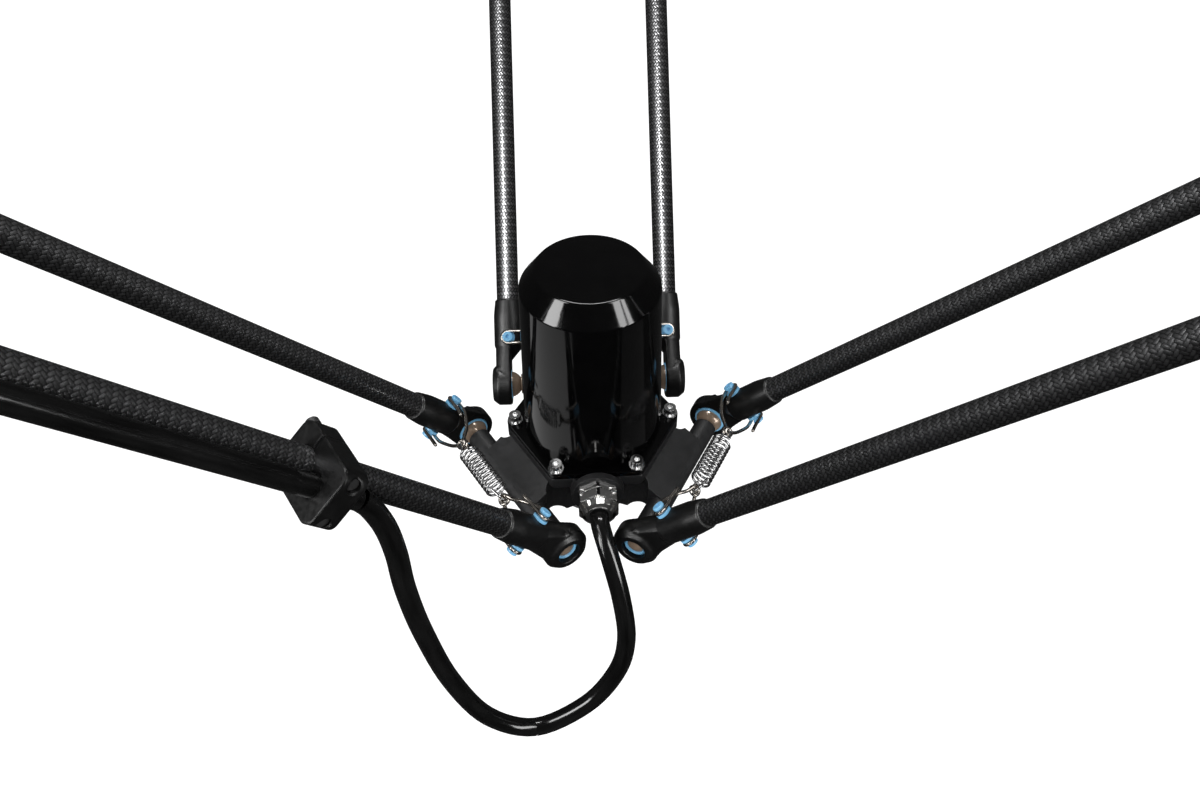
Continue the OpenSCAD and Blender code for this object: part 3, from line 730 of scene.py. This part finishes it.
def spring_line():
    """The tension spring's wire in millimetres: a helix along Y with a round loop at each end."""
    per_turn = 28
    helix = []
    for i in range(COILS * per_turn + 1):
        turn = 2 * math.pi * i / per_turn
        y = 2 * COIL_HALF * i / (COILS * per_turn) - COIL_HALF
        helix.append(Vector((SPRING_R * math.sin(turn), y, SPRING_R * math.cos(turn))))
    centre, radius = 4.0, 4.1
    loop = [Vector((0.3, COIL_HALF + 0.7, SPRING_R - 0.1))]
    loop += [
        Vector((0, COIL_HALF + centre + radius * math.sin(t), radius * math.cos(t)))
        for t in [math.radians(d) for d in range(5, 246, 24)]
    ]
    loop = curve_through([helix[-1], *loop], 4)[1:]
    start = [Vector((point.x, -point.y, point.z)) for point in reversed(loop)]
    return [*start, *helix, *loop]


def hook_line(side):
    """A spring hook's wire in millimetres: a curled eye with an arm round each of the two pins."""
    curl, climb = 2.5, 2.1
    eye = EYE_Y + curl

    def arm(turn):
        wrap = [
            (PIN_GROOVE * turn, PIN_Y + HOOK_BEND_R * math.cos(a), HOOK_BEND_R * math.sin(a))
            for a in [math.radians(d) for d in range(90, -91, -20)]
        ]
        return [
            ((PIN_GROOVE - 0.3) * turn, PIN_Y - 14.5, HOOK_BEND_R + 0.9),
            (PIN_GROOVE * turn, PIN_Y - 9, HOOK_BEND_R), (PIN_GROOVE * turn, PIN_Y - 4, HOOK_BEND_R), *wrap,
            (PIN_GROOVE * turn, PIN_Y - 5, -HOOK_BEND_R),
            ((PIN_GROOVE - 0.8) * turn, PIN_Y - 9, -HOOK_BEND_R),
            (7.2 * turn, EYE_Y + 11, -2.9), (3.6 * turn, EYE_Y + 6, -2.0 * (0.4 if turn < 0 else 1)),
        ]

    winding = [
        (curl * math.cos(a), eye + curl * math.sin(a), -climb * 0.75 - climb * a / (2 * math.pi))
        for a in [math.radians(d) for d in range(0, -541, -30)]
    ]
    line = curve_through([*arm(1), *winding, *reversed(arm(-1))], 5)
    return [Vector((point.x, side * point.y, point.z)) for point in line]


def make_springs():
    spring = sweep(spring_line(), SPRING_WIRE_R, 10)
    hooks = [sweep(hook_line(side), HOOK_WIRE_R, 14) for side in (1, -1)]
    for leg in legs.values():
        low = leg.bar(PIN_HEIGHT) @ SCALE
        high = leg.bar(ROD_LENGTH - PIN_HEIGHT) @ SCALE
        pieces = [
            ("coil", [(low, spring, 0)], ["spring"], "spring", "spring_link", "spring_steel"),
            (
                "hooks", [(low, hook, 0) for hook in hooks],
                ["hook"], "spring_hooks", "spring_link", "hook_wire",
            ),
            (
                "upper_coil", [(high, spring, 0)] + [(high, hook, 1) for hook in hooks],
                ["spring", "hook"], "upper_spring_set", "upper_spring_link", "spring_steel",
            ),
        ]
        for name, parts, looks, node, body, slot in pieces:
            piece = make_piece(f"{leg.name}_{name}", parts, [MATERIALS[look] for look in looks], sharp=80)
            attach(piece, f"{leg.name}_{body}")
            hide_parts(f"{leg.name}_{node}")


# ---------- cover ----------


def make_cover():
    """The motor cover as one turned shell with soft edges, on its six-sided flange."""
    top, shoulder, foot = BALL_Z + 133, BALL_Z + 121.8, BALL_Z + 24
    shoulder_r, wall = 37.2, 2.5
    low = foot - 3.5
    shell = rounded([
        (40.0, low), (40.0, foot, 0.6), (39.98, foot + 0.4),
        (shoulder_r, shoulder, 2.5), (28.8, top, 2.0), (0, top),
    ], steps=8)
    inside = rounded([
        (0, top - wall), (27.3, top - wall, 1), (shoulder_r - wall, shoulder - 2, 1),
        (36.5, low), (40.0, low),
    ])
    shell = [tuple(point) for point in inside] + [tuple(point) for point in shell[1:]]
    flange = hex_flange(low, foot)
    piece = make_piece(
        "domed_cover",
        [(SCALE, lathe(shell, 128), 0), (SCALE, flange, 0)],
        [MATERIALS["cover"]],
        sharp=32,
    )
    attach(piece, "platform")
    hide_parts("motor_cover")


def hex_flange(low, high):
    """The cover's six-sided flange with rounded corners and a soft upper edge, in millimetres."""
    corner_place, corner_r, bore_r = 45.3, 4.7, 37.5

    def outline(shrink):
        line = []
        for corner in range(6):
            middle = math.radians(60 * corner)
            for step in range(-30, 31, 6):
                turn = middle + math.radians(step)
                reach = corner_r - shrink
                line.append((
                    corner_place * math.cos(middle) + reach * math.cos(turn),
                    corner_place * math.sin(middle) + reach * math.sin(turn),
                ))
        return line

    def ring(points, z):
        return [Vector((x, y, z)) for x, y in points]

    inner = [
        (bore_r * x / math.hypot(x, y), bore_r * y / math.hypot(x, y)) for x, y in outline(0)
    ]
    rings = [
        ring(inner, low), ring(outline(0.0), low),
        ring(outline(0.0), high - 0.7), ring(outline(0.12), high - 0.3),
        ring(outline(0.3), high - 0.1), ring(outline(0.7), high),
        ring(inner, high), ring(inner, low),
    ]
    return rings_to_mesh(rings)


# ---------- CAD nodes that stay, in better materials ----------

LOOKS = {
    "platform_casting": "cast", "cover_gasket": "rubber", "cover_screws": "steel",
    "gland_body": "nickel", "gland_nut": "nickel", "gland_seal": "rubber", "motor_stator": "iron",
    "encoder_ring": "board", "bearing_outer_race": "steel", "bearing_inner_race": "steel",
    "shaft_seal": "rubber", "tool_flange": "aluminium", "motor_rotor": "iron",
    "clamp_saddles": "clamp", "clamp_caps": "clamp", "clamp_screws": "screw_black",
    "cable_connector": "nickel",
    "rear_elbow_bar": "cast", "left_elbow_bar": "cast", "right_elbow_bar": "cast",
}


def paint_nodes():
    for node, look in LOOKS.items():
        materials = frame["nodes"][node].data.materials
        materials.clear()
        materials.append(MATERIALS[look])


make_rods()
make_balls()
make_springs()
make_cover()
paint_nodes()


# ---------- studio ----------


def plain_object(name, points, faces, material):
    data = bpy.data.meshes.new(name)
    data.from_pydata(points, [], faces)
    data.materials.append(material)
    made = bpy.data.objects.new(name, data)
    bpy.context.scene.collection.objects.link(made)
    made.visible_glossy = False
    return made


def glowing(name, colour, strength, base=0.0):
    material = bpy.data.materials.new(name)
    material.use_nodes = True
    shader = material.node_tree.nodes["Principled BSDF"]
    shader.inputs["Base Color"].default_value = (base, base, base, 1)
    shader.inputs["Roughness"].default_value = 1.0
    shader.inputs["Specular IOR Level"].default_value = 0.0
    shader.inputs["Emission Color"].default_value = (*colour, 1)
    shader.inputs["Emission Strength"].default_value = strength
    return material


def make_stage():
    """A pale floor well below the object, inside a softly glowing white tent."""
    floor_z, reach = -0.45, 6.0
    corners = [(x * reach, y * reach, floor_z) for x, y in ((-1, -1), (1, -1), (1, 1), (-1, 1))]
    plain_object("floor", corners, [(0, 1, 2, 3)], glowing("floor", (1, 1, 1), 0.55, 0.6))
    mesh = bmesh.new()
    bmesh.ops.create_icosphere(mesh, subdivisions=4, radius=8)
    points = [tuple(vertex.co) for vertex in mesh.verts]
    faces = [tuple(vertex.index for vertex in face.verts) for face in mesh.faces]
    mesh.free()
    plain_object("tent", points, faces, glowing("tent", (1, 1, 1), 1.05))


# Words in the names of the pieces that a light can be kept to or kept from
METALS = ("coil", "hooks", "cover_screws", "gland_")
CARBON = ("carbon",)
COVER = ("domed_cover",)
LIGHTS_FACE = Vector((0, 0, 0.1))


def soft_box(name, place, wide, high, power, only=(), but=()):
    """A rectangular soft box that faces the object; with only or but, some pieces alone see it."""
    data = bpy.data.lights.new(name, "AREA")
    data.shape = "RECTANGLE"
    data.size, data.size_y = wide, high
    data.energy = power
    light = bpy.data.objects.new(name, data)
    bpy.context.scene.collection.objects.link(light)
    facing = (LIGHTS_FACE - Vector(place)).to_track_quat("-Z", "Y").to_matrix().to_4x4()
    light.matrix_world = Matrix.Translation(place) @ facing
    light.visible_camera = False
    # The key light shapes the matt surfaces, and the others are only mirrored
    light.visible_diffuse = name == "key"
    light.visible_glossy = name != "key"
    lit = bpy.data.collections.new(name)
    for piece in bpy.data.objects:
        chosen = any(word in piece.name for word in only) if only else True
        if piece.type == "MESH" and chosen and not any(word in piece.name for word in but):
            lit.objects.link(piece)
    light.light_linking.receiver_collection = lit


def make_world():
    """A studio that only reflections see: dark low down and bright overhead."""
    world = bpy.data.worlds.new("studio")
    world.use_nodes = True
    tree = world.node_tree
    place = tree.nodes.new("ShaderNodeTexCoord")
    split = tree.nodes.new("ShaderNodeSeparateXYZ")
    level = tree.nodes.new("ShaderNodeMapRange")
    tree.links.new(place.outputs["Generated"], split.inputs[0])
    tree.links.new(split.outputs[2], level.inputs["Value"])
    for socket, value in (("From Min", -0.2), ("From Max", 0.7), ("To Min", 0.03), ("To Max", 0.1)):
        level.inputs[socket].default_value = value
    tree.links.new(level.outputs[0], tree.nodes["Background"].inputs["Color"])
    bpy.context.scene.world = world


def make_lights():
    soft_box("left_strip", (-1.5, -0.75, 0.9), 0.6, 1.8, 75, but=METALS + CARBON)
    soft_box("right_strip", (1.28, -1.0, 0.9), 0.6, 1.8, 62, but=METALS + CARBON)
    soft_box("top_strip", (0.0, 0.5, 1.7), 1.0, 0.16, 34, but=METALS + CARBON)
    soft_box("low_left", (-0.43, -0.15, -0.34), 0.8, 0.5, 1.15, COVER)
    soft_box("low_right", (0.43, -0.2, -0.34), 0.4, 0.5, 0.05, COVER)
    soft_box("rod_front", (-0.2, -1.3, 1.3), 1.2, 1.2, 12, ("rear_carbon",))
    soft_box("rods_overhead", (0, -0.5, 1.7), 1.6, 0.7, 60, ("left_carbon", "right_carbon"))
    soft_box("rod_line", (-0.5, -1.06, 1.2), 0.14, 1.4, 40, ("rear_carbon",))
    soft_box("socket_line", (-0.5, -1.06, 1.2), 0.3, 1.4, 20, ("sockets",))
    soft_box("metal_top", (0.3, -0.7, 1.6), 1.1, 0.6, 10, METALS)
    soft_box("metal_left", (-1.4, -0.7, 0.7), 0.5, 1.0, 7, METALS)
    soft_box("metal_right", (1.3, -0.9, 0.4), 0.4, 0.8, 4.5, METALS)
    soft_box("metal_low", (0, -1.2, -0.35), 1.2, 0.3, 3.0, METALS)
    soft_box("metal_front", (-0.1, -1.25, 1.1), 0.5, 0.4, 4.0, ("hooks", "cover_screws", "gland_"))
    soft_box("key", (-1.1, -1.2, 1.6), 0.8, 0.8, 12)
    make_world()
    bpy.context.scene.view_settings.view_transform = "Standard"


make_stage()
make_lights()
